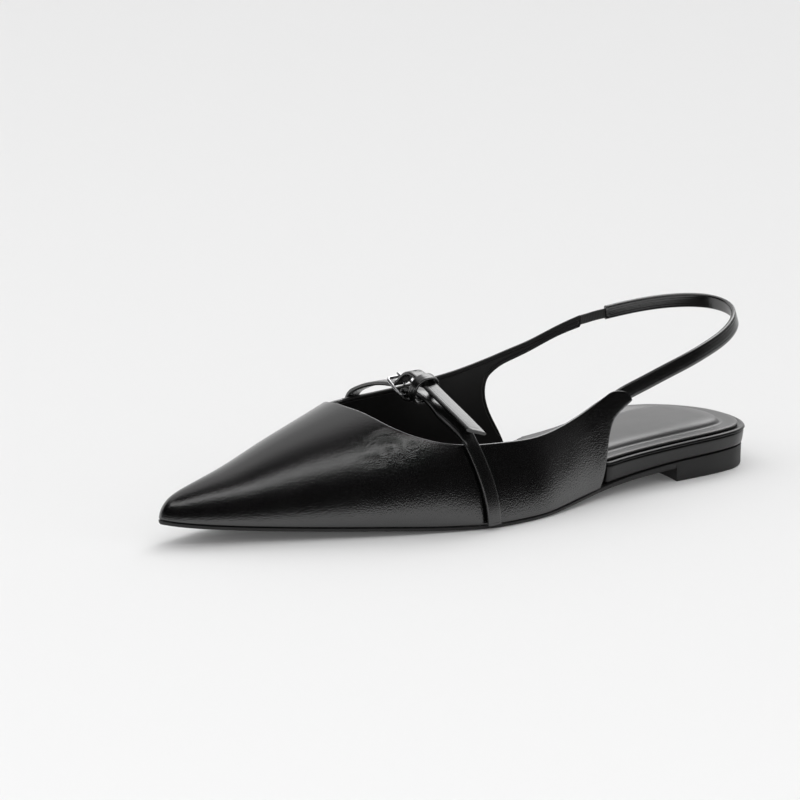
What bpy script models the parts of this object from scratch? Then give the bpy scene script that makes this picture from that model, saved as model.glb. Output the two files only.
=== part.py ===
"""Pointed toe slingback flat with a buckled instep strap, left shoe.

Sizes are in millimetres until a mesh is made. from_toe runs from the toe tip to the back of the heel, the
lateral side is -Y, and the floor is z = 0.
"""

import math

import bmesh
import bpy
import numpy as np

# Driving sizes
LENGTH = 269.0
UPPER_WALL = 1.5
GAP = 0.3
HEEL_FROM_TOE = 221.0
HEEL_INSET = 1.1
BAND_FLARE = 1.25
SEAT_INSET = 1.2
HEEL_HOLLOW = 5.5
RIM_RISE = 0.42
RIM_GROOVE = 1.05
SOCK_THICK = 1.2
SOCK_INSET = 2.9
PAD_INSET = 6.9
PAD_RISE = 2.3
PAD_SEAM = 0.45
PAD_FROM_TOE = 150.0
ARCH_CUP = 1.8
QUARTER_BACK = 182.6
QUARTER_FOOT = {"lateral": 178.6, "medial": 180.5}
TAB_BOW = {"lateral": 1.3, "medial": 0.7}
STRAP_WIDE = 6.4
STRAP_THICK = 1.6
SLING_WIDE = 5.7
SLING_THICK = 1.8
SLING_LEAN = math.radians(15.0)
ELASTIC_WIDE = 4.0
ELASTIC_THICK = 1.2
KEEPER_WIDE = 3.8
KEEPER_THICK = 1.2
KEEPER_ROUND = 3.6
FRAME_BAR = 0.75
FRAME_LONG = 9.2
FRAME_WIDE = 9.6
PRONG_BAR = 0.6

# Mesh spacing
RIBS_A_SIDE = 37
RIB_ROWS = 12
TAIL_ROWS = 4
SOLE_STATIONS = 48

# Sole, one row a section. lateral and medial are measured from the section's middle, which swings in at the toe.
SOLE_COLUMNS = ("from_toe", "lateral", "medial", "swing", "feather", "board", "edge")
SOLE = (
    (0.0, 0.0, 0.0, 15.0, 9.9, 11.6, 1.4),
    (4.0, 5.6, 6.0, 14.3, 9.2, 11.2, 1.4),
    (15.0, 10.0, 11.2, 12.4, 7.7, 10.0, 1.4),
    (30.0, 15.3, 17.5, 9.8, 6.3, 8.6, 1.4),
    (50.0, 22.5, 24.8, 6.5, 4.9, 7.2, 1.4),
    (75.0, 31.7, 33.4, 3.0, 3.5, 5.8, 1.4),
    (100.0, 39.8, 37.6, 0.6, 2.0, 4.4, 1.4),
    (120.0, 44.4, 36.2, 0.0, 1.4, 4.1, 1.4),
    (140.0, 43.2, 30.8, 0.0, 1.4, 6.2, 1.4),
    (160.0, 38.0, 26.0, 0.0, 2.7, 10.4, 1.4),
    (180.0, 32.4, 24.2, 0.0, 4.4, 13.1, 1.6),
    (205.0, 29.4, 25.2, 0.0, 6.4, 14.2, 2.0),
    (220.0, 28.9, 27.8, 0.0, 7.3, 14.7, 2.3),
    (238.0, 28.4, 30.4, 0.0, 7.8, 15.1, 2.4),
    (252.0, 26.4, 29.0, 0.0, 8.1, 15.2, 2.4),
    (260.0, 22.2, 24.0, 0.0, 8.2, 15.2, 2.4),
    (265.0, 16.0, 16.6, 0.0, 8.3, 15.2, 2.4),
    (269.0, 0.0, 0.0, 0.0, 8.4, 15.2, 2.4),
)

# Upper, one row a section: how far the ridge rises over the feather line, and the two handles of each half arch.
BODY_COLUMNS = ("from_toe", "rise", "bulge_lateral", "bulge_medial", "shoulder_lateral", "shoulder_medial")
BODY = (
    (0.0, 0.0, 0.0, 0.0, 0.0, 0.0),
    (4.0, 8.8, 0.2, 0.2, 2.9, 3.1),
    (15.0, 15.0, 0.6, 0.6, 5.2, 5.8),
    (30.0, 21.4, 1.0, 1.0, 8.2, 9.2),
    (50.0, 31.4, 1.6, 1.6, 12.0, 13.2),
    (75.0, 42.4, 2.4, 2.0, 18.0, 17.0),
    (100.0, 52.5, 2.0, 2.8, 25.0, 28.0),
    (125.0, 60.0, -1.0, 3.2, 20.0, 34.0),
    (150.0, 64.0, -1.6, 6.0, 17.0, 45.0),
    (180.0, 65.0, -1.6, 9.0, 16.0, 51.0),
    (200.0, 66.0, -1.0, 9.0, 16.0, 49.0),
    (222.0, 67.0, 0.0, 6.0, 17.0, 40.0),
)

# Edges of the upper as (from_toe, height), from the throat's middle to the back corner. The throat's middle is on
# the ridge.
THROAT_FROM_TOE = 77.0
TOPLINE = {
    "lateral": ((79.5, 45.0), (86.2, 39.5), (94.1, 35.7), (106.3, 32.7), (128.6, 30.8), (155.1, 30.9),
                (175.8, 34.6), (187.2, 38.2)),
    "medial": ((79.5, 45.3), (86.0, 42.6), (95.0, 41.2), (107.0, 40.7), (126.0, 40.4), (149.0, 41.2),
               (163.0, 42.3), (172.0, 43.5)),
}
BACK_EDGE = {
    "lateral": ((181.1, 8.6), (182.4, 11.8), (184.7, 18.6), (187.5, 25.8), (189.7, 29.3)),
    "medial": ((179.2, 13.0), (176.8, 20.0), (174.6, 29.0), (176.8, 36.8)),
}
# Tab and tail that leave the back corner, one row a station: upper from_toe and height, lower from_toe and height.
TAIL = {
    "lateral": ((190.9, 39.4, 192.5, 30.9), (193.8, 39.4, 197.0, 33.1), (195.6, 39.0, 200.9, 34.8)),
    "medial": ((179.0, 44.6, 182.0, 39.7), (188.0, 46.4, 190.0, 42.0), (200.0, 48.9, 201.0, 44.8),
               (212.0, 53.0, 212.5, 48.7), (221.4, 56.1, 221.6, 51.0)),
}

# Paths of the bands as (from_toe, y, z)
SLING_PATH = (
    (192.4, -22.0, 34.2), (197.2, -21.6, 36.0), (202.3, -21.6, 37.6), (206.6, -22.6, 39.2), (216.0, -25.4, 43.2),
    (226.8, -26.3, 46.5),
    (240.7, -23.6, 49.4), (252.7, -19.4, 51.9), (263.0, -12.8, 55.0), (268.6, -3.4, 57.2), (268.0, 7.4, 58.3),
    (261.0, 16.6, 58.3), (250.0, 23.0, 57.5), (240.0, 26.4, 56.4), (232.4, 28.4, 55.4),
)
ELASTIC_PATH = ((231.9, 28.6, 55.1), (227.5, 29.6, 54.5), (222.7, 30.3, 53.7))
STRAP_FOOT = {"lateral": (114.9, 110.7, 32.4, 1.6), "medial": (113.4, 109.2, 40.9, 1.0)}
LATERAL_OVER = ((110.0, -32.0, 36.7), (109.5, -25.0, 40.4), (109.3, -18.0, 44.0), (109.1, -11.6, 47.0),
                (109.0, -6.5, 48.3), (109.0, -2.6, 48.5))
MEDIAL_OVER = ((109.2, 28.0, 43.6), (109.1, 21.0, 46.4), (109.0, 13.5, 48.3), (109.0, 8.6, 48.9),
               (109.0, 5.2, 49.3), (109.0, 2.2, 50.9), (109.0, -0.8, 53.8), (109.0, -4.2, 55.2),
               (109.0, -8.6, 54.0), (109.2, -13.5, 51.4), (109.8, -24.0, 45.8), (110.4, -33.0, 41.0),
               (110.8, -39.0, 37.6))
TAIL_SLANT = 4.6
# Turn of the lateral strap about its own length, as (share of its length, degrees)
STRAP_TURN = ((0.0, 0.0), (0.4, 0.0), (0.48, 28.0), (0.6, 30.0), (0.7, 0.0), (1.0, 0.0))
# Holes through the medial strap: where, how far the punch leans over from upright, and its radius
STRAP_HOLES = (("prong_hole", (109.0, 2.1, 50.95), 38.0, 1.05), ("spare_hole", (109.0, -4.6, 55.2), -6.0, 0.7))
FRAME_MIDDLE = (109.0, 2.2, 49.2)
FRAME_TILT = math.radians(33.0)
KEEPER_MIDDLE = (108.6, -10.4, 49.85)
KEEPER_TILT = math.radians(-22.0)
KEEPER_INSIDE = (9.5, 9.8)

COLOURS = {"leather": (0.012, 0.012, 0.013), "sole": (0.02, 0.02, 0.02), "metal": (0.6, 0.6, 0.62)}


def slopes(x, y):
    """End slopes for a curve that keeps flat runs flat and never overshoots its table."""
    h = np.diff(x)
    d = np.diff(y) / h
    m = np.zeros(len(x))
    m[0], m[-1] = d[0], d[-1]
    for i in range(1, len(x) - 1):
        if d[i - 1] * d[i] > 0:
            a, b = 2 * h[i] + h[i - 1], h[i] + 2 * h[i - 1]
            m[i] = (a + b) / (a / d[i - 1] + b / d[i])
    return m


def curve(x, y):
    x, y = np.asarray(x, float), np.asarray(y, float)
    m = slopes(x, y)

    def at(value):
        value = min(max(value, x[0]), x[-1])
        i = min(int(np.searchsorted(x, value, side="right")) - 1, len(x) - 2)
        h = x[i + 1] - x[i]
        t = (value - x[i]) / h
        return (
            (1 + 2 * t) * (1 - t) ** 2 * y[i]
            + t * (1 - t) ** 2 * h * m[i]
            + t * t * (3 - 2 * t) * y[i + 1]
            + t * t * (t - 1) * h * m[i + 1]
        )

    return at


def stretch(from_toe):
    """Evens out the rounded ends, where a width grows as the square root of the distance."""
    half = LENGTH / 2
    if from_toe < half:
        return math.sqrt(max(from_toe, 0) / half) / 2
    return 1 - math.sqrt(max(LENGTH - from_toe, 0) / half) / 2


def unstretch(u):
    half = LENGTH / 2
    return half * (2 * u) ** 2 if u < 0.5 else LENGTH - half * (2 * (1 - u)) ** 2


def columns(names, rows, rounded):
    """One function of from_toe for each column. The rounded ones are read along the stretched length."""
    found = {}
    for i, name in enumerate(names[1:], 1):
        if name in rounded:
            inner = curve([stretch(row[0]) for row in rows], [row[i] for row in rows])
            found[name] = lambda x, inner=inner: inner(stretch(x))
        else:
            found[name] = curve([row[0] for row in rows], [row[i] for row in rows])
    return found


sole = columns(SOLE_COLUMNS, SOLE, ("lateral", "medial"))
body = columns(BODY_COLUMNS, BODY, BODY_COLUMNS)
SIDES = {"lateral": -1.0, "medial": 1.0}


def side_y(side, from_toe, inset=0.0):
    return sole["swing"](from_toe) + SIDES[side] * max(sole[side](from_toe) - inset, 0.05)


def outer(side, from_toe, climb):
    """Point of the upper's outer face: climb runs from 0 at the feather line to 1 at the ridge."""
    width, rise = sole[side](from_toe), body["rise"](from_toe)
    bulge, shoulder = body["bulge_" + side](from_toe), body["shoulder_" + side](from_toe)
    t, s = climb, 1 - climb
    reach = s**3 * width + 3 * s * s * t * (width + bulge) + 3 * s * t * t * shoulder
    up = 3 * s * s * t * 0.42 * rise + 3 * s * t * t * rise + t**3 * rise
    return np.array(
        (from_toe, sole["swing"](from_toe) + SIDES[side] * reach, sole["feather"](from_toe) + GAP + up)
    )


def climb_at(side, from_toe, height):
    low, high = 0.0, 1.0
    for _ in range(40):
        middle = (low + high) / 2
        if outer(side, from_toe, middle)[2] < height:
            low = middle
        else:
            high = middle
    return (low + high) / 2


def to_plane(side, from_toe, climb):
    """The upper laid flat: distance from the toe tip as a radius, climb as an angle from the feather line."""
    radius, angle = math.sqrt(from_toe), (1 - climb) * math.pi / 2
    return np.array((radius * math.sin(angle), radius * math.cos(angle)))


def from_plane(side, flat):
    radius = math.hypot(*flat)
    return outer(side, radius * radius, 1 - abs(math.atan2(flat[0], flat[1])) / (math.pi / 2))


def spread(points, count):
    """Points along a smooth line through the given ones, at even steps."""
    points = np.asarray(points, float)
    along = np.concatenate(([0.0], np.cumsum(np.linalg.norm(np.diff(points, axis=0), axis=1))))
    axes = [smooth(along, points[:, i]) for i in range(points.shape[1])]
    fine = np.array([[axis(s) for axis in axes] for s in np.linspace(0, along[-1], 12 * len(points))])
    run = np.concatenate(([0.0], np.cumsum(np.linalg.norm(np.diff(fine, axis=0), axis=1))))
    even = np.linspace(0, run[-1], count)
    return np.column_stack([np.interp(even, run, fine[:, i]) for i in range(points.shape[1])])


def smooth(x, y):
    """Natural cubic spline."""
    n = len(x)
    h = np.diff(x)
    a = np.eye(n)
    b = np.zeros(n)
    for i in range(1, n - 1):
        a[i, i - 1], a[i, i], a[i, i + 1] = h[i - 1], 2 * (h[i - 1] + h[i]), h[i]
        b[i] = 6 * ((y[i + 1] - y[i]) / h[i] - (y[i] - y[i - 1]) / h[i - 1])
    m = np.linalg.solve(a, b)

    def at(value):
        i = min(max(int(np.searchsorted(x, value)) - 1, 0), n - 2)
        p, q = x[i + 1] - value, value - x[i]
        return (
            (m[i] * p**3 + m[i + 1] * q**3) / (6 * h[i])
            + (y[i] / h[i] - m[i] * h[i] / 6) * p
            + (y[i + 1] / h[i] - m[i + 1] * h[i] / 6) * q
        )

    return at


def material(name, colour, metal, rough):
    made = bpy.data.materials.new(name)
    made.use_nodes = True
    shader = made.node_tree.nodes["Principled BSDF"]
    shader.inputs["Base Color"].default_value = (*COLOURS[colour], 1)
    shader.inputs["Metallic"].default_value = metal
    shader.inputs["Roughness"].default_value = rough
    return made


def add(name, verts, faces, look, smooth_faces=True):
    """Makes one object of the shoe from points in shoe millimetres."""
    mesh = bpy.data.meshes.new(name)
    mesh.from_pydata([((v[0] - LENGTH / 2) / 1000, v[1] / 1000, v[2] / 1000) for v in verts], [], faces)
    work = bmesh.new()
    work.from_mesh(mesh)
    bmesh.ops.recalc_face_normals(work, faces=work.faces)
    work.to_mesh(mesh)
    work.free()
    for face in mesh.polygons:
        face.use_smooth = smooth_faces
    made = bpy.data.objects.new(name, mesh)
    made.data.materials.append(material(name, *look))
    bpy.data.collections["pointed_toe_sandal"].objects.link(made)
    return made


LEATHER, SOLE_LOOK, METAL = ("leather", 0.0, 0.45), ("sole", 0.0, 0.6), ("metal", 1.0, 0.2)


def loft(name, sections, look, narrow_end=False):
    """A closed skin over rings of the same number of points. Its ends are flat, or the last one is so narrow that
    its two halves are joined point by point."""
    count = len(sections[0])
    verts = [p for ring in sections for p in ring]
    faces = []
    for i in range(len(sections) - 1):
        for j in range(count):
            k = (j + 1) % count
            faces.append((i * count + j, i * count + k, (i + 1) * count + k, (i + 1) * count + j))
    faces.append(tuple(range(count))[::-1])
    last = (len(sections) - 1) * count
    if narrow_end:
        for j in range(count // 2 - 1):
            faces.append((last + j, last + j + 1, last + count - 2 - j, last + count - 1 - j))
    else:
        faces.append(tuple(range(last, last + count)))
    return add(name, verts, faces, look)


def upper_grid():
    """Rib lines from the feather line to the topline, from the lateral back corner round the toe to the medial."""
    half = {}
    for side in SIDES:
        back = QUARTER_FOOT[side]
        feather = [np.array((a, 0.0)) for a in np.linspace(0, math.sqrt(back), RIBS_A_SIDE + 1)]
        top = [to_plane(side, THROAT_FROM_TOE, 1.0)]
        top += [to_plane(side, x, climb_at(side, x, z)) for x, z in TOPLINE[side]]
        top = spread(top, RIBS_A_SIDE + 1)
        edge = [to_plane(side, back, 0.0)]
        edge += [to_plane(side, x, climb_at(side, x, z)) for x, z in BACK_EDGE[side]]
        edge = spread(edge, RIB_ROWS - TAIL_ROWS + 1)
        share = np.linspace(0, 1, TAIL_ROWS + 1)[1:, None]
        edge = np.concatenate((edge, edge[-1] + share * (top[-1] - edge[-1])))
        ribs = []
        for i in range(RIBS_A_SIDE + 1):
            r = i / RIBS_A_SIDE
            rows = []
            for j in range(RIB_ROWS + 1):
                k = j / RIB_ROWS
                bend = edge[j] - ((1 - k) * feather[-1] + k * top[-1])
                rows.append(from_plane(side, (1 - k) * feather[i] + k * top[i] + r**1.5 * bend))
            ribs.append(rows)
        half[side] = ribs
    return half


def tail_ribs(side):
    """Stations of the tab or the tail beyond the back edge, each from its lower edge to its upper edge."""
    rows = TAIL[side]
    first = (TOPLINE[side][-1], BACK_EDGE[side][-1])
    upper = [first[0]] + [row[:2] for row in rows]
    lower = [first[1]] + [row[2:] for row in rows]
    count = 4 if side == "lateral" else 15
    upper, lower = spread(upper, count + 1), spread(lower, count + 1)
    ribs = []
    for i in range(1, count + 1):
        rib = []
        for j in range(TAIL_ROWS + 1):
            along = upper[i] - lower[i]
            bow = TAB_BOW[side] * math.sin(math.pi * j / TAIL_ROWS) * (i / count) ** 3
            x, z = lower[i] + along * j / TAIL_ROWS + bow * np.array((along[1], -along[0])) / math.hypot(*along)
            rib.append(outer(side, x, climb_at(side, x, z)))
        ribs.append(rib)
    return ribs


def upper():
    half = upper_grid()
    grid = half["lateral"][::-1] + half["medial"][1:]
    verts, faces, index = [], [], {}

    def place(key, point):
        index[key] = len(verts)
        verts.append(point)

    for i, rib in enumerate(grid):
        for j, point in enumerate(rib):
            place((i, j), point)
    start = RIB_ROWS - TAIL_ROWS
    for side, corner, step in (("lateral", 0, -1), ("medial", len(grid) - 1, 1)):
        for m, rib in enumerate(tail_ribs(side), 1):
            for j, point in enumerate(rib):
                place((corner + step * m, start + j), point)
    names = sorted({i for i, _ in index})
    for i in names[:-1]:
        for j in range(RIB_ROWS):
            corners = [(i, j), (i + 1, j), (i + 1, j + 1), (i, j + 1)]
            if all(key in index for key in corners):
                faces.append(tuple(index[key] for key in corners))
    made = add("upper", verts, faces, LEATHER)
    middle = np.mean(np.array(verts), axis=0)
    work = bmesh.new()
    work.from_mesh(made.data)
    facing = sum(
        f.normal.y * (f.calc_center_median().y - middle[1] / 1000) * f.calc_area() for f in work.faces
    )
    if facing < 0:
        bmesh.ops.reverse_faces(work, faces=work.faces)
    work.to_mesh(made.data)
    work.free()
    wall = made.modifiers.new("wall", "SOLIDIFY")
    wall.thickness = UPPER_WALL / 1000
    wall.offset = -1
    wall.use_even_offset = False
    return made


def stations(first, last, count):
    return [unstretch(u) for u in np.linspace(stretch(first), stretch(last), count)]


def ground(from_toe):
    """Underside of the outsole: flat on the floor at the tread and flat over the heel block."""
    return max(sole["feather"](from_toe) - sole["edge"](from_toe), 0.0)


def sole_inset(from_toe):
    """The sole lies flush with the upper and draws in under the heel seat."""
    k = min(max((from_toe - 168) / 26, 0), 1)
    return SEAT_INSET * k * k * (3 - 2 * k)


def outsole():
    sections = []
    for x in stations(0.12, LENGTH - 0.12, SOLE_STATIONS):
        top, low, draw = sole["feather"](x), ground(x), sole_inset(x)
        at = x - SEAT_INSET * max(0.0, (x - 200) / (LENGTH - 200))
        step = min(0.5, sole["lateral"](x) * 0.3)
        ring = []
        for side, order in (("lateral", 1), ("medial", -1)):
            part = [
                (at, side_y(side, x, draw + 0.1), top),
                (at, side_y(side, x, draw), top - 0.15),
                (at, side_y(side, x, draw + 0.15), low + 0.45),
                (at, side_y(side, x, draw + 0.15 + step), low),
            ]
            ring += part[::order]
        sections.append(ring)
    return loft("outsole", sections, SOLE_LOOK)


def seat_point(side, from_toe, inset, height):
    """Point of the heel seat: its inset is taken straight across at the quarters, and square to the rounded back."""
    turn = min(max((from_toe - 185) / 30, 0), 1)
    turn = turn * turn * (3 - 2 * turn)
    step = min(0.4, (LENGTH - from_toe) / 2)
    slope = (sole[side](from_toe + step) - sole[side](from_toe - step)) / (2 * step)
    length = math.hypot(slope, 1)
    across = side_y(side, from_toe, inset * (1 - turn + turn / length))
    return (from_toe + inset * turn * slope / length, across, height)


def board_inset(from_toe):
    """The board stands inside the upper's wall, and comes out flush behind the quarters."""
    if from_toe < 60:
        return 2.3 + 2.2 * (1 - from_toe / 60)
    return 2.3 + 1.7 * min(max((from_toe - 130) / 40, 0), 1) if from_toe < QUARTER_BACK + 0.3 else 0.0


def covered_stations():
    return stations(9.0, QUARTER_BACK + 0.2, 12)


def platform():
    """Wrapped board. Behind the quarters it has a rolled rim, a groove under that, and a band that draws in."""
    sections = []
    for x in covered_stations() + stations(QUARTER_BACK + 0.9, LENGTH - 0.15, 29):
        inset = board_inset(x)
        low, top = sole["feather"](x) + GAP, sole["board"](x)
        bare = 1.0 if inset == 0 else 0.0
        deep = 1.0 if inset == 0 else min(1.0, (top - low) / 4)
        taper = min(1.0, sole["lateral"](x) / 6)
        groove = (RIM_GROOVE if inset == 0 else 0.1) * taper
        flare = (BAND_FLARE if inset == 0 else 0.1) * taper
        ring = []
        for side, order in (("lateral", 1), ("medial", -1)):
            for off, z in (
                (2.5 * taper, top),
                (2.05 * taper, top + 0.2 * bare),
                (1.4 * taper, top + RIM_RISE * bare),
                (0.75 * taper, top + 0.85 * RIM_RISE * bare),
                (0.3 * taper, top + 0.1 * bare - 0.05 * deep),
                (0.05, top - 0.6 * deep),
                (0.3 * bare * taper, top - 0.8 * deep),
                (groove, top - 0.98 * deep),
                (0.4 * groove, top - 1.35 * deep),
                (flare, low + 0.3 * deep),
                (flare + 0.25 * taper, low),
            )[::order]:
                ring.append(seat_point(side, x, inset + off, z))
        sections.append(ring)
    return loft("platform", sections, LEATHER, True)


def insole():
    """Sock over the board, with the heel pad raised inside its edge."""
    sections = []
    for x in covered_stations()[1:] + stations(QUARTER_BACK + 1.4, LENGTH - 0.15, 28):
        within = board_inset(x) + 0.6 if x < QUARTER_BACK + 0.3 else SOCK_INSET
        within += 0.8 if x < 60 else 0.0
        ahead = min(max((x - PAD_FROM_TOE) / 32, 0), 1)
        rise = PAD_RISE * ahead * ahead * (3 - 2 * ahead)
        low = sole["board"](x) + GAP
        top = low + SOCK_THICK
        cup = ARCH_CUP * math.sin(math.pi * min(max((x - 190) / 74, 0), 1)) ** 2
        ring = []
        for side, order in (("lateral", 1), ("medial", -1)):
            p = min(1.0, max(sole[side](min(x, 250)) - within, 0.1) / 16.2)
            part = [
                (15.5 * p, top + rise),
                (11.6 * p, top + rise * 0.9),
                (9.4 * p, top + rise * 0.7),
                (7.95 * p, top + rise * 0.42),
                (PAD_INSET * p, top - PAD_SEAM * ahead),
                (0.6 * p, top + (cup if side == "medial" else 0.0)),
                (0.0, top - 0.4 + (cup if side == "medial" else 0.0)),
                (0.1 * p, low),
            ]
            ring += [seat_point(side, x, within + off, z) for off, z in part[::order]]
        sections.append(ring)
    return loft("insole", sections, LEATHER, True)


def heel():
    """Low block with rounded corners and a hollow front."""
    outline = []
    for x in stations(HEEL_FROM_TOE, LENGTH - HEEL_INSET - 0.05, 30):
        outline.append((x, "lateral"))
    ring = []
    back = LENGTH - HEEL_INSET
    for x, side in outline:
        shifted = min(x * (LENGTH / back), LENGTH - 0.01)
        ring.append((x, side_y(side, shifted, HEEL_INSET)))
    for x, _ in outline[::-1]:
        shifted = min(x * (LENGTH / back), LENGTH - 0.01)
        ring.append((x, side_y("medial", shifted, HEEL_INSET)))
    low_y, high_y = ring[0][1], ring[-1][1]
    for k in range(1, 12):
        s = k / 12
        ring.append((HEEL_FROM_TOE + HEEL_HOLLOW * math.sin(math.pi * s), high_y + (low_y - high_y) * s))
    middle = np.mean(np.array(ring), axis=0)
    sections = []
    for share, shrink in ((0.0, 0.8), (0.1, 0.3), (1.0, 0.0)):
        level = []
        for x, y in ring:
            away = np.array((x, y)) - middle
            away = away * (1 - shrink / max(np.linalg.norm(away), 1e-6))
            level.append((middle[0] + away[0], middle[1] + away[1], share * (ground(x) - GAP)))
        sections.append(level)
    return loft("heel", sections, SOLE_LOOK)


def band(name, path, across, wide, thick, look, count, slant=0.0, lean=0.0):
    """A flat strip with eased edges swept along a path. across gives the direction of its width, and lean tips
    that away from the strip's face."""
    line = spread(path, count)
    run = np.gradient(line, axis=0)
    run /= np.linalg.norm(run, axis=1)[:, None]
    ease = min(0.45, thick * 0.3)
    profile = (
        (-wide / 2, -thick / 2 + ease), (-wide / 2 + ease, -thick / 2), (wide / 2 - ease, -thick / 2),
        (wide / 2, -thick / 2 + ease), (wide / 2, thick / 2 - ease), (wide / 2 - ease, thick / 2),
        (-wide / 2 + ease, thick / 2), (-wide / 2, thick / 2 - ease),
    )
    rings = []
    for i, point in enumerate(line):
        side = np.array(across(i / (count - 1)), float)
        side -= run[i] * side.dot(run[i])
        side /= np.linalg.norm(side)
        side = side * math.cos(lean) - np.cross(run[i], side) * math.sin(lean)
        face = np.cross(run[i], side)
        end = slant * max(0.0, 1 - (count - 1 - i) / 3)
        rings.append([point + side * a + face * b + run[i] * end * (a / wide) for a, b in profile])
    return loft(name, rings, look)


def wall_path(side, off):
    """Up the outside of the upper, clear of it, from the feather line to the topline."""
    low_x, high_x, high_z, sweep = STRAP_FOOT[side]
    points = []
    for k in np.linspace(0, 1, 7):
        x = low_x + (high_x - low_x) * k**sweep
        low = sole["feather"](x) + GAP + 0.2
        z = low + (high_z - low) * k
        t = climb_at(side, x, z)
        here = outer(side, x, t)
        along = outer(side, x + 1, t) - outer(side, x - 1, t)
        up = outer(side, x, min(t + 0.01, 1)) - outer(side, x, max(t - 0.01, 0))
        normal = np.cross(along, up)
        normal *= np.sign(normal[1]) * SIDES[side] / np.linalg.norm(normal)
        points.append(here + normal * off)
    return points


def punch(strap, name, middle, lean, radius):
    """Cuts a round hole through a strap with a hidden cylinder."""
    place = ((middle[0] - LENGTH / 2) / 1000, middle[1] / 1000, middle[2] / 1000)
    bpy.ops.mesh.primitive_cylinder_add(
        vertices=16, radius=radius / 1000, depth=0.005, location=place, rotation=(-math.radians(lean), 0, 0)
    )
    tool = bpy.context.object
    tool.name = name
    for old in list(tool.users_collection):
        old.objects.unlink(tool)
    bpy.data.collections["cutters"].objects.link(tool)
    tool.hide_render = True
    tool.display_type = "WIRE"
    cut = strap.modifiers.new(name, "BOOLEAN")
    cut.operation = "DIFFERENCE"
    cut.solver = "EXACT"
    cut.object = tool


def straps():
    off = GAP + 0.35 + STRAP_THICK / 2
    toward = (1.0, 0.0, 0.0)
    bar = np.array(FRAME_MIDDLE) - frame_axes()[1] * (FRAME_LONG / 2)
    round_bar = FRAME_BAR + GAP + STRAP_THICK / 2
    fold = []
    for angle in (90, 45, 0, -45, -90):
        a = math.radians(angle)
        fold.append((bar[0], bar[1] + round_bar * math.cos(a), bar[2] + round_bar * math.sin(a)))
    fold.append((bar[0], bar[1] - 4.2, bar[2] - round_bar + 0.35))
    path = wall_path("lateral", off) + list(LATERAL_OVER) + fold
    turn = curve(*zip(*STRAP_TURN))
    band("strap_lateral", path, lambda s: (math.cos(math.radians(turn(s))), 0.0, math.sin(math.radians(turn(s)))),
         STRAP_WIDE, STRAP_THICK, LEATHER, 58)
    path = wall_path("medial", off) + list(MEDIAL_OVER)
    strap = band("strap_medial", path, lambda s: toward, STRAP_WIDE, STRAP_THICK, LEATHER, 72, TAIL_SLANT)
    for name, middle, lean, radius in STRAP_HOLES:
        punch(strap, name, middle, lean, radius)
    upright = (0.0, 0.0, 1.0)
    band("slingback_strap", SLING_PATH, lambda s: upright, SLING_WIDE, SLING_THICK, LEATHER, 52, lean=SLING_LEAN)
    band("elastic", ELASTIC_PATH, lambda s: upright, ELASTIC_WIDE, ELASTIC_THICK, LEATHER, 7, lean=SLING_LEAN)


def ring_of(name, centre, first, second, half_first, half_second, corner, profile, look):
    """A closed loop round a rounded rectangle, swept with a small profile of (outward, sideways) points."""
    third = np.cross(first, second)
    loop = []
    for quarter in range(4):
        a = (1, -1, -1, 1)[quarter] * (half_first - corner)
        b = (1, 1, -1, -1)[quarter] * (half_second - corner)
        for step in range(5):
            angle = math.radians(90 * quarter + 22.5 * step)
            out = (math.cos(angle), math.sin(angle))
            loop.append(((a + corner * out[0], b + corner * out[1]), out))
    verts, faces = [], []
    count, size = len(loop), len(profile)
    for (a, b), out in loop:
        for away, sideways in profile:
            verts.append(
                centre + first * (a + away * out[0]) + second * (b + away * out[1]) + third * sideways
            )
    for i in range(count):
        for j in range(size):
            k, m = (i + 1) % count, (j + 1) % size
            faces.append((i * size + j, i * size + m, k * size + m, k * size + j))
    return add(name, verts, faces, look)


def frame_axes():
    return np.array((1.0, 0.0, 0.0)), np.array((0.0, math.cos(FRAME_TILT), math.sin(FRAME_TILT)))


def buckle():
    first, second = frame_axes()
    rod = [(FRAME_BAR * math.cos(a), FRAME_BAR * math.sin(a)) for a in np.linspace(0, 2 * math.pi, 9)[:-1]]
    centre = np.array(FRAME_MIDDLE)
    ring_of("buckle_frame", centre, first, second, FRAME_WIDE / 2, FRAME_LONG / 2, 1.4, rod, METAL)
    third = np.cross(first, second)
    low = centre - second * (FRAME_LONG / 2 - FRAME_BAR - GAP - STRAP_THICK - GAP - 0.9)
    high = centre + second * (FRAME_LONG / 2 + 0.5)
    lift = FRAME_BAR + GAP + PRONG_BAR
    path = [low + third * 0.2, centre + third * lift * 0.7, high + third * lift]
    band("buckle_prong", path, lambda s: (1.0, 0.0, 0.0), PRONG_BAR * 2, PRONG_BAR * 2, METAL, 9)
    turn = np.array((0.0, math.cos(KEEPER_TILT), -math.sin(KEEPER_TILT)))
    up = np.cross(first, turn)
    flat = [(0.0, -KEEPER_WIDE / 2), (KEEPER_THICK, -KEEPER_WIDE / 2),
            (KEEPER_THICK, KEEPER_WIDE / 2), (0.0, KEEPER_WIDE / 2)]
    ring_of("keeper", np.array(KEEPER_MIDDLE), first, up, KEEPER_INSIDE[0] / 2, KEEPER_INSIDE[1] / 2,
            KEEPER_ROUND, flat, LEATHER)


def centre():
    """Hangs every piece on one empty and moves that, so that the box's bottom middle is the origin."""
    root = bpy.data.objects.new("shoe", None)
    bpy.context.scene.collection.objects.link(root)
    pieces = list(bpy.data.collections["pointed_toe_sandal"].objects)
    points = np.array([point.co for piece in pieces for point in piece.data.vertices])
    for piece in pieces + list(bpy.data.collections["cutters"].objects):
        piece.parent = root
    root.location = -(points.min(axis=0) + points.max(axis=0)) / 2
    root.location.z = -points.min(axis=0)[2]


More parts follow.
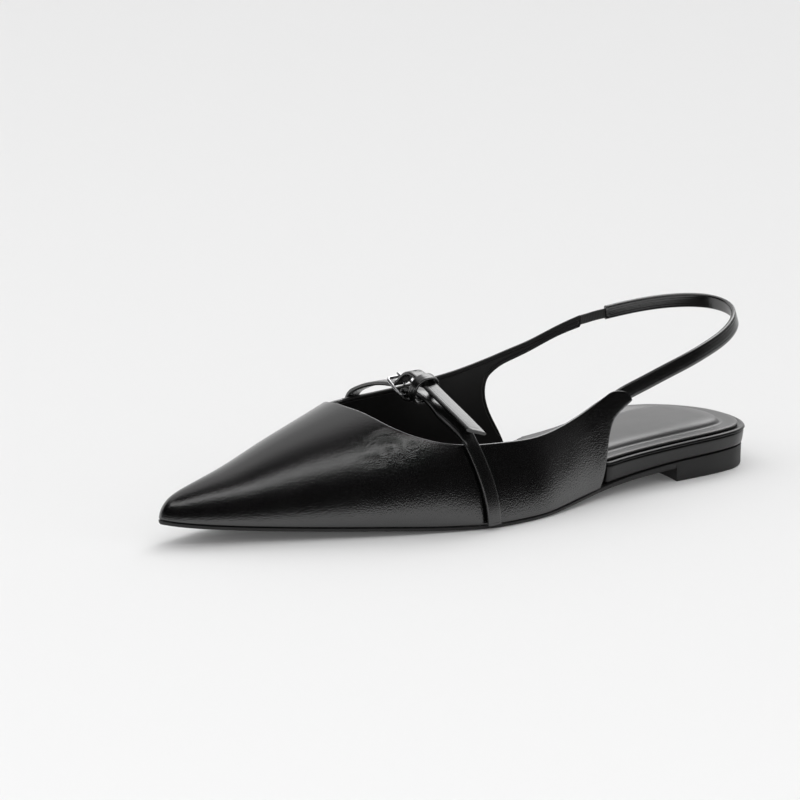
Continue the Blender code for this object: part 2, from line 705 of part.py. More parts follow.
def main():
    for old in list(bpy.data.objects):
        bpy.data.objects.remove(old)
    home = bpy.data.collections.new("pointed_toe_sandal")
    bpy.context.scene.collection.children.link(home)
    bpy.context.scene.collection.children.link(bpy.data.collections.new("cutters"))
    upper()
    outsole()
    platform()
    insole()
    heel()
    straps()
    buckle()
    centre()


main()
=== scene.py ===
"""Pointed toe slingback flat in black nappa with a buckled instep strap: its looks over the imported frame."""

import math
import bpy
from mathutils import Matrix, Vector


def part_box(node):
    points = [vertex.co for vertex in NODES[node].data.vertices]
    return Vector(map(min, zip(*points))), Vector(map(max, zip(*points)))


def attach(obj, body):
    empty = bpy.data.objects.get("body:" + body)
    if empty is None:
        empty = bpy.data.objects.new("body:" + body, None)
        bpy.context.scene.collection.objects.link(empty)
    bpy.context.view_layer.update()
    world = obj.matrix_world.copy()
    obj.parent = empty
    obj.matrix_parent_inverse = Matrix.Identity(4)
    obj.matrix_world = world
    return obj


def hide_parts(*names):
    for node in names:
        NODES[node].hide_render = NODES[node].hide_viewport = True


bl_info = {
    "name": "Pointed toe sandal",
    "version": (1, 0, 0),
    "blender": (4, 5, 0),
    "location": "View3D > Sidebar > Sandal",
    "description": "Dresses the packed frame of a left pointed toe slingback flat",
    "category": "Object",
}

import bpy
from mathutils import Matrix, Vector
from mathutils.kdtree import KDTree

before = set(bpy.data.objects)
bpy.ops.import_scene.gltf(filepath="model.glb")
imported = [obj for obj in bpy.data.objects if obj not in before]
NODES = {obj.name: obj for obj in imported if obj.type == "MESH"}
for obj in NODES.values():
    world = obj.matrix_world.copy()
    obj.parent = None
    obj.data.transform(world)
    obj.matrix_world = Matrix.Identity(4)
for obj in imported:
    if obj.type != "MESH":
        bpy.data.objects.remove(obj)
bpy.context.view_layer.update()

MM = 0.001
BODY = "root"

# Places on the shoe in metres: +X runs to the heel, +Y to the inner side. The leather creases at the throat's
# lateral corner, and the slingback is sewn to the lateral tab.
THROAT = (-0.0552, -0.0224, 0.0326)
THROAT_BACK = -0.035
MIDDLE = 0.003
MEDIAL = 0.012
WALL_HALF = 0.02
WALL_LOW = 0.012
FEATHER_HIGH = 0.014
TOPLINE_LOW = 0.03
TAB_LOW = 0.027
TAB_FRONT = 0.0525
LAP_FRONT = 0.0555
WAIST_BACK = 0.046

# Moves in metres that seat one piece on another
TAB_EDGE_TUCK = (0.8 * MM, 0.0, -0.7 * MM)
TAB_LAP = (0.0, 0.75 * MM, -0.2 * MM)
OUTSOLE_SEAT = (0.0, 0.0, 0.25 * MM)
ELASTIC_TUCK = 1.6 * MM

# The least share of a face's normal along an axis for it to face that way, and the largest face of a rim
FACING = {"skin": 0.5, "rim": 0.6, "underside": 0.3, "lap": 0.9, "top": 0.8, "end": 0.7}
RIM_FACE = 12 * MM * MM

# How far below its highest point the heel's top reaches, and the rounding of hard edges
HEEL_ROOF = 1.5 * MM
HEEL_ROUND = 0.3 * MM
KEEPER_ROUND = 0.4 * MM

# Leather's patterns in millimetres. Real pores are near 0.2 mm, too fine to show, so they are drawn coarser.
# The slope is how much the slow noise behind the creases changes in a millimetre.
PORE = 0.6
PATCH = 9.0
LINE_HALF = 0.45
CREASE_FULL = 4.0
CREASE_END = 19.0
CREASE_DRIFT = 6.0
NOISE_SLOPE = 0.055
GLOSS_SPREAD = 0.03

# Patterns of the other materials in millimetres. Ribs are too fine to show, so they are drawn twice as wide.
GRIT = 0.5
WEAR = 14.0
RUB = 1.2
TOOTH = 4.0
FINE_RELIEF = 0.03
RIBS_DRAWN = 2.0

# Leather finishes: the colour's name, roughness and depth of the grain in millimetres, and what else shows
LEATHERS = {
    # Upper: smooth enough to mirror the lamps softly, with creases at the throat
    "black_nappa": {"colour": "leather", "rough": 0.2, "depth": 0.042, "creases": 0.012},
    # Straps: the same hide, stretched smoother, with a line pressed along each edge
    "strap_nappa": {"colour": "leather", "rough": 0.24, "depth": 0.022, "line": "fold", "groove": 0.03},
    # Wrap of the board: thinned and glued down, so it shines less
    "board_nappa": {"colour": "leather", "rough": 0.32, "depth": 0.02, "shine": 0.45},
    # Lining: dull, with the edge of the binding pressed in below the topline
    "lining_leather": {
        "colour": "lining", "rough": 0.45, "depth": 0.015, "shine": 0.28, "line": "binding", "groove": 0.3
    },
    # Sock: a soft satin that turns pale where it is seen at a low angle
    "sock_nappa": {"colour": "sock", "rough": 0.41, "depth": 0.012},
}

# Photograph: camera direction, pixels a millimetre, and the pixel on the buckle's middle
PICTURE = 800
VIEW_AZIMUTH = math.radians(40.0)
VIEW_ELEVATION = math.radians(12.7)
VIEW_DISTANCE = 9.0
VIEW_FAR = 100.0
PIXELS_A_MM = 2.617
BUCKLE_PIXEL = (403.07, 384.87)
SENSOR = 36.0

# Studio: how far the key box lies to the right, behind and up. A panel of light is a product of ramps, and a
# ramp gives its direction, where it starts and ends, and its strength at both. Panels are joined in order.
KEY_BOX = (0.27, 0.66, 0.7)
DIM_ROOM = 0.01
PANELS = (
    # Wall behind the shoe
    (
        "MAXIMUM",
        (
            ("behind", 0.15, 0.6, 0.0, 1.0),
            ("height", -0.1, 0.4, 0.95, 1.0),
            ("aside", 0.3, 0.75, 1.0, 0.4),
        ),
    ),
    # Ceiling
    ("MAXIMUM", (("behind", -0.4, 0.12, 0.0, 0.8), ("height", 0.6, 0.9, 0.0, 1.0))),
    # Strip lamp in front
    (
        "ADD",
        (
            ("height", 0.69, 0.73, 0.0, 1.0),
            ("height", 0.78, 0.83, 1.0, 0.0),
            ("behind", -0.45, -0.25, 2.45, 0.0),
        ),
    ),
    # Key box behind
    ("ADD", (("key", 0.93, 0.98, 0.0, 3.2),)),
)

# Fill lights round the shoe: name, turn from the camera in radians, rise, and power in watts
FILLS = (
    ("fill_front", 0.0, 0.3, 18.0),
    ("fill_toe", -1.1, 0.35, 17.0),
    ("fill_heel", 1.1, 0.35, 14.0),
    ("fill_left", -1.9, 0.7, 8.0),
)
FILL_DISTANCE = 2.5
FILL_SIDE = 2.0
FILL_DIP = 0.1
OVERHEAD_SIDE = 3.0
OVERHEAD_POWER = 16.0


def linear(code):
    """An sRGB hex colour as the linear colour that a shader takes."""
    parts = [int(code[i : i + 2], 16) / 255 for i in (1, 3, 5)]
    return tuple(c / 12.92 if c <= 0.04045 else ((c + 0.055) / 1.055) ** 2.4 for c in parts)


def colour_prop(name, code, description):
    """A colour that a user can change."""
    return bpy.props.FloatVectorProperty(
        name=name, description=description, subtype="COLOR", size=3, min=0.0, max=1.0, default=linear(code)
    )


def size_prop(name, millimetres, description):
    """A length that a user can change."""
    return bpy.props.FloatProperty(
        name=name,
        description=description,
        unit="LENGTH",
        subtype="DISTANCE",
        min=0.0,
        default=millimetres * MM,
    )


class SandalSizes(bpy.types.PropertyGroup):
    """Sizes that a user would change."""

    edge_round: size_prop("Edge round", 0.62, "Rounding of the folded leather edges")
    fold: size_prop("Fold", 1.15, "Distance of the pressed line from a strap's edge")
    binding: size_prop("Binding", 1.5, "Width of the rolled binding inside the topline")
    grain: size_prop("Grain", 0.55, "Size of a pebble of the leather's grain")
    crease: size_prop("Crease", 0.85, "Spacing of the fine creases at the throat")
    heel_lift: size_prop("Heel lift", 2.9, "How far the heel block laps up over the outsole's edge")
    rib: size_prop("Rib", 0.6, "Spacing of the elastic's ribs")
    floor_side: size_prop("Floor", 8000.0, "Side of the floor")


class SandalColours(bpy.types.PropertyGroup):
    """Colours that a user would change."""

    leather: colour_prop("Leather", "#070707", "Black nappa of the upper and the straps")
    lining: colour_prop("Lining", "#0e0d0d", "Lining inside the upper")
    sock: colour_prop("Sock", "#1b1a1a", "Leather of the sock and the heel pad")
    rubber: colour_prop("Rubber", "#1a1a1a", "Outsole and heel block")
    elastic: colour_prop("Elastic", "#111111", "Woven elastic behind the medial quarter")
    metal: colour_prop("Metal", "#c9c9cb", "Plated buckle")
    floor: colour_prop("Floor", "#e7e7e7", "Studio floor")


def only(piece):
    """Leaves one object selected and active, in object mode."""
    if bpy.context.mode != "OBJECT":
        bpy.ops.object.mode_set(mode="OBJECT")
    bpy.ops.object.select_all(action="DESELECT")
    piece.select_set(True)
    bpy.context.view_layer.objects.active = piece


def edit(piece, mode):
    """Opens a piece in edit mode with nothing selected."""
    only(piece)
    bpy.ops.object.mode_set(mode="EDIT")
    bpy.ops.mesh.select_mode(type=mode)
    bpy.ops.mesh.select_all(action="DESELECT")


def done():
    """Goes back to object mode."""
    bpy.ops.object.mode_set(mode="OBJECT")


def lift(node, name):
    """A copy of a solid of the frame, welded, with its pairs of triangles made quads again."""
    piece = bpy.data.objects.new(name, NODES[node].data.copy())
    piece.data.name = name
    bpy.context.scene.collection.objects.link(piece)
    only(piece)
    bpy.ops.mesh.customdata_custom_splitnormals_clear()
    edit(piece, "VERT")
    bpy.ops.mesh.select_all(action="SELECT")
    bpy.ops.mesh.remove_doubles(threshold=1e-5)
    turn = math.radians(70)
    bpy.ops.mesh.tris_convert_to_quads(face_threshold=turn, shape_threshold=turn, topology_influence=1.0)
    done()
    piece.data.materials.clear()
    return piece


def pick(piece, faces=None, edges=None):
    """Selects faces or edges by a test of each, and opens the piece in edit mode."""
    only(piece)
    mesh = piece.data
    for group in (mesh.vertices, mesh.edges, mesh.polygons):
        group.foreach_set("select", [False] * len(group))
    group, test = (mesh.polygons, faces) if faces else (mesh.edges, edges)
    chosen = [part for part in group if test(part)]
    if not chosen:
        raise RuntimeError(f"nothing to select on {piece.name}")
    for part in chosen:
        part.select = True
        for index in part.vertices:
            mesh.vertices[index].select = True
    bpy.context.tool_settings.mesh_select_mode = (False, faces is None, faces is not None)
    bpy.ops.object.mode_set(mode="EDIT")


def shift(piece, move, faces=None, edges=None):
    """Moves the faces or edges that pass a test."""
    pick(piece, faces, edges)
    bpy.ops.transform.translate(value=move)
    done()


def ease_sharp(piece, angle, offset, segments):
    """Rounds every edge that folds by more than an angle."""
    edit(piece, "EDGE")
    bpy.ops.mesh.edges_select_sharp(sharpness=math.radians(angle))
    bpy.ops.mesh.bevel(offset=offset, segments=segments, profile=0.5, affect="EDGES", clamp_overlap=True)
    done()


def crease_sharp(piece, angle, value):
    """Keeps the edges that fold by more than an angle tight under the subdivision."""
    edit(piece, "EDGE")
    bpy.ops.mesh.edges_select_sharp(sharpness=math.radians(angle))
    bpy.ops.transform.edge_crease(value=value)
    done()


def subdivide(piece, levels=2):
    """Smooths a piece with an applied Subdivision Surface."""
    only(piece)
    smooth = piece.modifiers.new("smooth", "SUBSURF")
    smooth.levels = levels
    smooth.render_levels = levels
    bpy.ops.object.modifier_apply(modifier=smooth.name)


def finish_piece(piece, node, materials=(), angle=40):
    """Smooth shading, materials, and the calls that tie a piece to the frame."""
    only(piece)
    bpy.ops.object.shade_smooth_by_angle(angle=math.radians(angle))
    for material in materials:
        piece.data.materials.append(material)
    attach(piece, BODY)
    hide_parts(node)


def add_node(tree, kind, inputs=None, **settings):
    """Adds one node with its settings; an input is a value, or a socket to link from."""
    made = tree.nodes.new(kind)
    for name, value in settings.items():
        setattr(made, name, value)
    for name, value in (inputs or {}).items():
        if isinstance(value, bpy.types.NodeSocket):
            tree.links.new(value, made.inputs[name])
        else:
            made.inputs[name].default_value = value
    return made


def new_material(name, colour, rough, **sockets):
    """A material with its constant values on the shader, which is returned with it."""
    material = bpy.data.materials.new(name)
    material.use_nodes = True
    shader = material.node_tree.nodes["Principled BSDF"]
    shader.inputs["Base Color"].default_value = (*colour, 1.0)
    shader.inputs["Roughness"].default_value = rough
    for key, value in sockets.items():
        shader.inputs[key.replace("_", " ")].default_value = value
    return material, shader


def per_metre(millimetres):
    """Texture scale that makes one cell of a pattern that many millimetres wide."""
    return 1.0 / (millimetres * MM)


def uneven_gloss(tree, shader, place, patch, detail, low, high):
    """Roughness that drifts between two values in patches of a size in millimetres."""
    drift = add_node(
        tree, "ShaderNodeTexNoise", {"Vector": place, "Scale": per_metre(patch), "Detail": detail}
    )
    gloss = add_node(
        tree, "ShaderNodeMapRange", {"Value": drift.outputs["Fac"], "To Min": low, "To Max": high}
    )
    tree.links.new(gloss.outputs["Result"], shader.inputs["Roughness"])


def nappa(name, colour, rough, depth, shine=1.0, line="", groove=0.0, creases=0.0):
    """Drum-dyed nappa with a satin finish: near black, with a soft sheen that a fine pebble breaks up.

    line names the size that says how far in from an edge a line is pressed, and groove is its depth. creases
    is the depth of the ripples that lasting leaves at the throat. Depths are in millimetres.
    """
    sizes = bpy.context.scene.sandal_sizes
    shown = getattr(bpy.context.scene.sandal_colours, colour)
    material, shader = new_material(name, shown, rough, IOR=1.55, Specular_IOR_Level=shine)
    tree = material.node_tree
    place = add_node(tree, "ShaderNodeTexCoord").outputs["Object"]
    pebble = add_node(
        tree,
        "ShaderNodeTexVoronoi",
        {"Vector": place, "Scale": per_metre(sizes.grain / MM), "Randomness": 1.0},
        feature="SMOOTH_F1",
    )
    pore = add_node(tree, "ShaderNodeTexNoise", {"Vector": place, "Scale": per_metre(PORE), "Detail": 3.0})
    reliefs = [(pebble.outputs["Distance"], depth), (pore.outputs["Fac"], depth)]
    if line:
        edge = add_node(tree, "ShaderNodeAttribute", attribute_name="from_edge").outputs["Fac"]
        past = add_node(tree, "ShaderNodeMath", {0: edge, 1: getattr(sizes, line)}, operation="SUBTRACT")
        aside = add_node(tree, "ShaderNodeMath", {0: past.outputs[0]}, operation="ABSOLUTE")
        pressed = add_node(
            tree,
            "ShaderNodeMapRange",
            {"Value": aside.outputs[0], "From Max": LINE_HALF * MM, "To Min": -groove, "To Max": 0.0},
            interpolation_type="SMOOTHSTEP",
        )
        reliefs.append((pressed.outputs["Result"], 1.0))
    if creases:
        away = add_node(tree, "ShaderNodeVectorMath", {0: place, 1: THROAT}, operation="DISTANCE")
        fade = {"From Min": CREASE_FULL * MM, "From Max": CREASE_END * MM, "To Min": creases, "To Max": 0.0}
        near = add_node(
            tree,
            "ShaderNodeMapRange",
            {"Value": away.outputs["Value"], **fade},
            interpolation_type="SMOOTHSTEP",
        )
        slow = add_node(
            tree, "ShaderNodeTexNoise", {"Vector": place, "Scale": per_metre(CREASE_DRIFT), "Detail": 0.0}
        )
        turns = math.tau / (NOISE_SLOPE * sizes.crease / MM)
        phase = add_node(tree, "ShaderNodeMath", {0: slow.outputs["Fac"], 1: turns}, operation="MULTIPLY")
        ripple = add_node(tree, "ShaderNodeMath", {0: phase.outputs[0]}, operation="SINE")
        reliefs.append((ripple.outputs[0], near.outputs["Result"]))
    height = 0.0
    for relief, amount in reliefs:
        raised = add_node(tree, "ShaderNodeMath", {0: relief, 1: amount, 2: height}, operation="MULTIPLY_ADD")
        height = raised.outputs[0]
    bump = add_node(tree, "ShaderNodeBump", {"Strength": 1.0, "Distance": MM, "Height": height})
    tree.links.new(bump.outputs["Normal"], shader.inputs["Normal"])
    uneven_gloss(tree, shader, place, PATCH, 2.0, rough - GLOSS_SPREAD, rough + GLOSS_SPREAD)
    return material


def moulded_rubber(name):
    """Moulded rubber, lightly sanded at the edge: dark charcoal, matt, with a fine even grit."""
    material, shader = new_material(name, bpy.context.scene.sandal_colours.rubber, 0.55)
    tree = material.node_tree
    place = add_node(tree, "ShaderNodeTexCoord").outputs["Object"]
    grit = add_node(tree, "ShaderNodeTexNoise", {"Vector": place, "Scale": per_metre(GRIT), "Detail": 4.0})
    bump = add_node(tree, "ShaderNodeBump", {"Distance": FINE_RELIEF * MM, "Height": grit.outputs["Fac"]})
    tree.links.new(bump.outputs["Normal"], shader.inputs["Normal"])
    uneven_gloss(tree, shader, place, WEAR, 3.0, 0.48, 0.64)
    return material


def ribbed_elastic(name):
    """Ribbed elastic braid: dull black ribs side by side, each with a soft round top."""
    scene = bpy.context.scene
    material, shader = new_material(
        name, scene.sandal_colours.elastic, 0.7, Sheen_Weight=0.3, Sheen_Roughness=0.5
    )
    tree = material.node_tree
    place = add_node(tree, "ShaderNodeTexCoord").outputs["Object"]
    # At a scale of one, the bands repeat every twentieth of a full turn
    scale = per_metre(scene.sandal_sizes.rib / MM * RIBS_DRAWN) * math.tau / 20
    ribs = add_node(
        tree,
        "ShaderNodeTexWave",
        {"Vector": place, "Scale": scale, "Distortion": 0.3},
        bands_direction="X",
    )
    bump = add_node(tree, "ShaderNodeBump", {"Distance": FINE_RELIEF * MM, "Height": ribs.outputs["Fac"]})
    tree.links.new(bump.outputs["Normal"], shader.inputs["Normal"])
    return material


def polished_nickel(name):
    """Nickel plate, polished: bright and sharp, with faint rub marks."""
    material, shader = new_material(name, bpy.context.scene.sandal_colours.metal, 0.12, Metallic=1.0)
    tree = material.node_tree
    place = add_node(tree, "ShaderNodeTexCoord").outputs["Object"]
    uneven_gloss(tree, shader, place, RUB, 4.0, 0.08, 0.2)
    return material


def background_paper(name):
    """Matt background paper: pale and even, with no shine."""
    material, shader = new_material(
        name, bpy.context.scene.sandal_colours.floor, 0.95, Specular_IOR_Level=0.1
    )
    tree = material.node_tree
    place = add_node(tree, "ShaderNodeTexCoord").outputs["Object"]
    uneven_gloss(tree, shader, place, TOOTH, 2.0, 0.92, 0.98)
    return material


OTHER_FINISHES = {
    "moulded_rubber": moulded_rubber,
    "ribbed_elastic": ribbed_elastic,
    "polished_nickel": polished_nickel,
    "background_paper": background_paper,
}


def finish_named(name):
    """A finish of the shoe or the stage, made once."""
    found = bpy.data.materials.get(name)
    if found:
        return found
    if name in LEATHERS:
        return nappa(name, **LEATHERS[name])
    return OTHER_FINISHES[name](name)


def sharp_lines(piece, angle, above=0.0):
    """Points along the folded edges of a piece, for measuring how far a place lies from them."""
    edit(piece, "EDGE")
    bpy.ops.mesh.edges_select_sharp(sharpness=math.radians(angle))
    done()
    mesh = piece.data
    points = []
    for edge in mesh.edges:
        one, two = (mesh.vertices[index].co for index in edge.vertices)
        if edge.select and min(one.z, two.z) > above:
            steps = max(2, int((two - one).length / (0.4 * MM)))
            points += [one.lerp(two, k / steps) for k in range(steps + 1)]
    tree = KDTree(len(points))
    for index, point in enumerate(points):
        tree.insert(point, index)
    tree.balance()
    return tree


def measure_edges(piece, tree):
    """Writes how far each point lies from the folded edges, which the leather's pressed lines follow."""
    far = piece.data.attributes.new("from_edge", "FLOAT", "POINT")
    far.data.foreach_set("value", [tree.find(v.co)[2] for v in piece.data.vertices])


def inside_wall(face):
    """Whether a face is on the middle of the upper's inner skin."""
    side = 1.0 if face.center.y > MIDDLE else -1.0
    in_middle = abs(face.center.x) < WALL_HALF and WALL_LOW < face.center.z < TOPLINE_LOW
    return in_middle and face.normal.y * side < -FACING["skin"]


def medial_rim(face):
    """Whether a face is on the turned-over top of the medial topline, which the binding covers."""
    high = face.normal.z > FACING["rim"] and face.center.z > TOPLINE_LOW
    return high and face.center.x > THROAT_BACK and face.center.y > MEDIAL and face.area < RIM_FACE


def tab_underside(face):
    """Whether a face is on the lower edge of the lateral tab, between its outer and inner skins."""
    on_tab = face.center.x > TAB_FRONT and face.center.z > TAB_LOW and face.center.y < 0
    return on_tab and face.normal.z < -FACING["underside"]


def tab_inside(face):
    """Whether a face is on the lateral tab's inner skin, which the slingback band is sewn to."""
    on_lap = face.center.x > LAP_FRONT and face.center.z > TOPLINE_LOW and face.center.y < 0
    return on_lap and face.normal.y > FACING["lap"]


class SANDAL_OT_upper(bpy.types.Operator):
    """Vamp and quarters in one shell, with folded edges and a bound lining"""

    bl_idname = "sandal.upper"
    bl_label = "Upper"

    def execute(self, context):
        sizes = context.scene.sandal_sizes
        piece = lift("upper", "vamp_and_quarters")
        piece.data.materials.append(finish_named("black_nappa"))
        piece.data.materials.append(finish_named("lining_leather"))
        lining = set()
        for face in piece.data.polygons:
            if tab_underside(face):
                inward = sorted(face.vertices, key=lambda index: piece.data.vertices[index].co.y)
                lining.update(inward[-2:])
        shift(piece, TAB_EDGE_TUCK, edges=lambda edge: lining.issuperset(edge.vertices))
        shift(piece, TAB_LAP, faces=tab_inside)
        pick(piece, faces=inside_wall)
        bpy.ops.mesh.faces_select_linked_flat(sharpness=math.radians(45))
        piece.active_material_index = 1
        bpy.ops.object.material_slot_assign()
        done()
        pick(piece, faces=medial_rim)
        bpy.ops.object.material_slot_assign()
        done()
        folds = sharp_lines(piece, angle=50, above=FEATHER_HIGH)
        ease_sharp(piece, angle=50, offset=sizes.edge_round, segments=3)
        subdivide(piece)
        measure_edges(piece, folds)
        finish_piece(piece, "upper", angle=60)
        return {"FINISHED"}


class SANDAL_OT_sole(bpy.types.Operator):
    """Outsole and low heel block"""

    bl_idname = "sandal.sole"
    bl_label = "Sole and heel"

    def execute(self, context):
        look = finish_named("moulded_rubber")
        outsole = lift("outsole", "outsole_strip")
        shift(
            outsole,
            OUTSOLE_SEAT,
            faces=lambda face: face.normal.z > FACING["top"] and face.center.x > WAIST_BACK,
        )
        crease_sharp(outsole, angle=25, value=0.9)
        subdivide(outsole)
        finish_piece(outsole, "outsole", [look])
        heel = lift("heel", "heel_block")
        roof = max(v.co.z for v in heel.data.vertices) - HEEL_ROOF
        shift(
            heel,
            (0.0, 0.0, context.scene.sandal_sizes.heel_lift),
            faces=lambda face: face.normal.z > FACING["top"] and face.center.z > roof,
        )
        ease_sharp(heel, angle=50, offset=HEEL_ROUND, segments=3)
        finish_piece(heel, "heel", [look], angle=30)
        return {"FINISHED"}


class SANDAL_OT_footbed(bpy.types.Operator):
    """Wrapped board with its rolled rim, and the sock with its heel pad"""

    bl_idname = "sandal.footbed"
    bl_label = "Footbed"

    def execute(self, context):
        rim = lift("platform", "wrapped_board")
        crease_sharp(rim, angle=60, value=0.3)
        subdivide(rim)
        finish_piece(rim, "platform", [finish_named("board_nappa")], angle=60)
        sock = lift("insole", "sock_and_pad")
        crease_sharp(sock, angle=36, value=0.6)
        subdivide(sock)
        finish_piece(sock, "insole", [finish_named("sock_nappa")], angle=60)
        return {"FINISHED"}


class SANDAL_OT_straps(bpy.types.Operator):
    """Instep straps, slingback strap, keeper and elastic"""

    bl_idname = "sandal.straps"
    bl_label = "Straps"

    def execute(self, context):
        look = finish_named("strap_nappa")
        for node, name in (
            ("strap_lateral", "instep_strap_lateral"),
            ("strap_medial", "instep_strap_medial"),
            ("slingback_strap", "slingback_band"),
        ):
            piece = lift(node, name)
            folds = sharp_lines(piece, angle=30)
            crease_sharp(piece, angle=30, value=0.55)
            subdivide(piece)
            measure_edges(piece, folds)
            finish_piece(piece, node, [look], angle=50)
        keeper = lift("keeper", "keeper_loop")
        folds = sharp_lines(keeper, angle=60)
        ease_sharp(keeper, angle=60, offset=KEEPER_ROUND, segments=2)
        subdivide(keeper)
        measure_edges(keeper, folds)
        finish_piece(keeper, "keeper", [look], angle=50)
        elastic = lift("elastic", "elastic_link")
        for way in (1.0, -1.0):
            tuck = (ELASTIC_TUCK * way, 0.0, 0.0)
            shift(elastic, tuck, faces=lambda face: face.normal.x * way > FACING["end"])
        crease_sharp(elastic, angle=30, value=0.5)
        subdivide(elastic)
        finish_piece(elastic, "elastic", [finish_named("ribbed_elastic")], angle=50)
        return {"FINISHED"}


class SANDAL_OT_buckle(bpy.types.Operator):
    """Polished buckle frame and its prong"""

    bl_idname = "sandal.buckle"
    bl_label = "Buckle"

    def execute(self, context):
        look = finish_named("polished_nickel")
        for node, name in (("buckle_frame", "buckle_bars"), ("buckle_prong", "buckle_pin")):
            piece = lift(node, name)
            subdivide(piece)
            finish_piece(piece, node, [look], angle=60)
        return {"FINISHED"}


class SANDAL_OT_stage(bpy.types.Operator):
    """Pale floor, soft studio light and the photograph's camera"""

    bl_idname = "sandal.stage"
    bl_label = "Stage"

    def execute(self, context):
        scene = context.scene
        bpy.ops.object.select_all(action="DESELECT")
        bpy.ops.mesh.primitive_plane_add(size=scene.sandal_sizes.floor_side)
        floor = context.active_object
        floor.name = "studio_floor"
        floor.data.materials.append(finish_named("background_paper"))
        studio_light(scene)
        studio_camera(scene)
        scene.view_settings.view_transform = "Standard"
        return {"FINISHED"}


def view_axes():
    """Right, up and back of the photograph's view."""
    a, e = VIEW_AZIMUTH, VIEW_ELEVATION
    right = Vector((math.cos(a), -math.sin(a), 0.0))
    back = Vector((-math.sin(a) * math.cos(e), -math.cos(a) * math.cos(e), math.sin(e)))
    return right, back.cross(right), back


def studio_camera(scene):
    """A camera at the photograph's angle, placed so that the buckle falls on its pixel."""
    data = bpy.data.cameras.new("photo_camera")
    camera = bpy.data.objects.new("photo_camera", data)
    scene.collection.objects.link(camera)
    right, up, back = view_axes()
    low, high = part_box("buckle_frame")
    buckle = (Vector(low) + Vector(high)) / 2
    aside = (PICTURE / 2 - BUCKLE_PIXEL[0]) / PIXELS_A_MM * MM
    above = (BUCKLE_PIXEL[1] - PICTURE / 2) / PIXELS_A_MM * MM
    turn = Matrix((right, up, back)).transposed().to_4x4()
    place = right * (buckle.dot(right) + aside) + up * (buckle.dot(up) + above) + back * VIEW_DISTANCE
    camera.matrix_world = Matrix.Translation(place) @ turn
    data.sensor_width = SENSOR
    data.lens = SENSOR * PIXELS_A_MM * VIEW_DISTANCE / MM / PICTURE
    data.clip_end = VIEW_FAR
    data.dof.use_dof = False
    scene.camera = camera


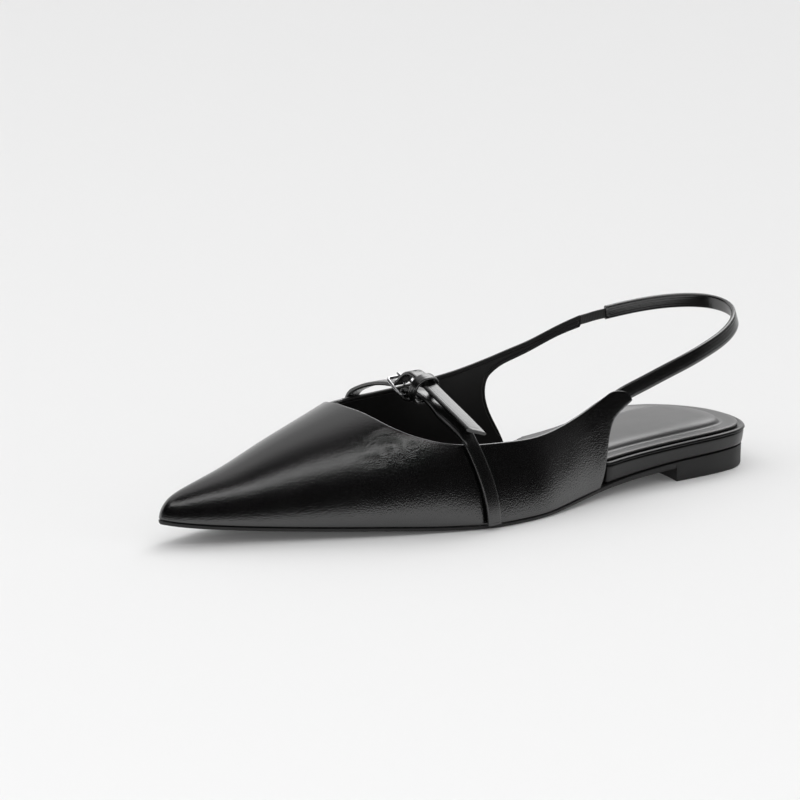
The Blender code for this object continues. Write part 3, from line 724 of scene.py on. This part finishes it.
def studio_light(scene):
    """A pale wall and ceiling, a strip lamp in front, a key box behind, a dim room, and soft fills."""
    world = bpy.data.worlds.new("studio")
    scene.world = world
    world.use_nodes = True
    tree = world.node_tree
    sky = tree.nodes["Background"]
    sky.inputs["Color"].default_value = (1.0, 1.0, 1.0, 1.0)
    right, up, back = view_axes()
    away = Vector((-back.x, -back.y, 0.0)).normalized()
    upright = Vector((0.0, 0.0, 1.0))
    key = (right * KEY_BOX[0] + away * KEY_BOX[1] + upright * KEY_BOX[2]).normalized()
    look = add_node(tree, "ShaderNodeTexCoord").outputs["Generated"]
    along = {}
    for name, way in (("aside", right), ("behind", away), ("height", upright), ("key", key)):
        reach = add_node(tree, "ShaderNodeVectorMath", {0: look, 1: tuple(way)}, operation="DOT_PRODUCT")
        along[name] = reach.outputs["Value"]
    total = 0.0
    for join, ramps in PANELS:
        panel = 1.0
        for name, start, end, low, high in ramps:
            ramp = add_node(
                tree,
                "ShaderNodeMapRange",
                {"Value": along[name], "From Min": start, "From Max": end, "To Min": low, "To Max": high},
                interpolation_type="SMOOTHSTEP",
            )
            product = add_node(
                tree, "ShaderNodeMath", {0: panel, 1: ramp.outputs["Result"]}, operation="MULTIPLY"
            )
            panel = product.outputs[0]
        total = add_node(tree, "ShaderNodeMath", {0: total, 1: panel}, operation=join).outputs[0]
    room = add_node(tree, "ShaderNodeMath", {0: total, 1: DIM_ROOM}, operation="ADD")
    tree.links.new(room.outputs[0], sky.inputs["Strength"])
    overhead = fill_light(scene, "fill_overhead", upright * FILL_DISTANCE, OVERHEAD_SIDE, OVERHEAD_POWER)
    overhead.data.use_shadow = False
    front = (back - up * FILL_DIP).normalized()
    for name, turn, rise, power in FILLS:
        place = Matrix.Rotation(turn, 3, "Z") @ Vector((front.x, front.y, rise)) * FILL_DISTANCE
        fill_light(scene, name, place, FILL_SIDE, power)


def fill_light(scene, name, place, side, power):
    """A soft panel that lifts the shadows on the floor and isn't mirrored in the leather."""
    data = bpy.data.lights.new(name, "AREA")
    data.size = side
    data.energy = power
    lamp = bpy.data.objects.new(name, data)
    scene.collection.objects.link(lamp)
    lamp.visible_glossy = False
    lamp.location = place
    lamp.rotation_euler = place.to_track_quat("Z", "Y").to_euler()
    return lamp


class SANDAL_PT_parts(bpy.types.Panel):
    """Lists the pieces, their sizes and their colours"""

    bl_idname = "SANDAL_PT_parts"
    bl_label = "Pointed toe sandal"
    bl_space_type = "VIEW_3D"
    bl_region_type = "UI"
    bl_category = "Sandal"

    def draw(self, context):
        for group in (context.scene.sandal_sizes, context.scene.sandal_colours):
            for name in group.__annotations__:
                self.layout.prop(group, name)
        for operator in OPERATORS:
            self.layout.operator(operator.bl_idname)


GROUPS = (SandalSizes, SandalColours)
OPERATORS = (
    SANDAL_OT_stage,
    SANDAL_OT_upper,
    SANDAL_OT_sole,
    SANDAL_OT_footbed,
    SANDAL_OT_straps,
    SANDAL_OT_buckle,
)


def register():
    for cls in (*GROUPS, *OPERATORS, SANDAL_PT_parts):
        bpy.utils.register_class(cls)
    bpy.types.Scene.sandal_sizes = bpy.props.PointerProperty(type=SandalSizes)
    bpy.types.Scene.sandal_colours = bpy.props.PointerProperty(type=SandalColours)


def unregister():
    del bpy.types.Scene.sandal_colours
    del bpy.types.Scene.sandal_sizes
    for cls in reversed((*GROUPS, *OPERATORS, SANDAL_PT_parts)):
        bpy.utils.unregister_class(cls)


def main():
    """Registers the classes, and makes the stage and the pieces."""
    register()
    bpy.ops.sandal.stage()
    bpy.ops.sandal.upper()
    bpy.ops.sandal.sole()
    bpy.ops.sandal.footbed()
    bpy.ops.sandal.straps()
    bpy.ops.sandal.buckle()


if __name__ == "__main__":
    main()
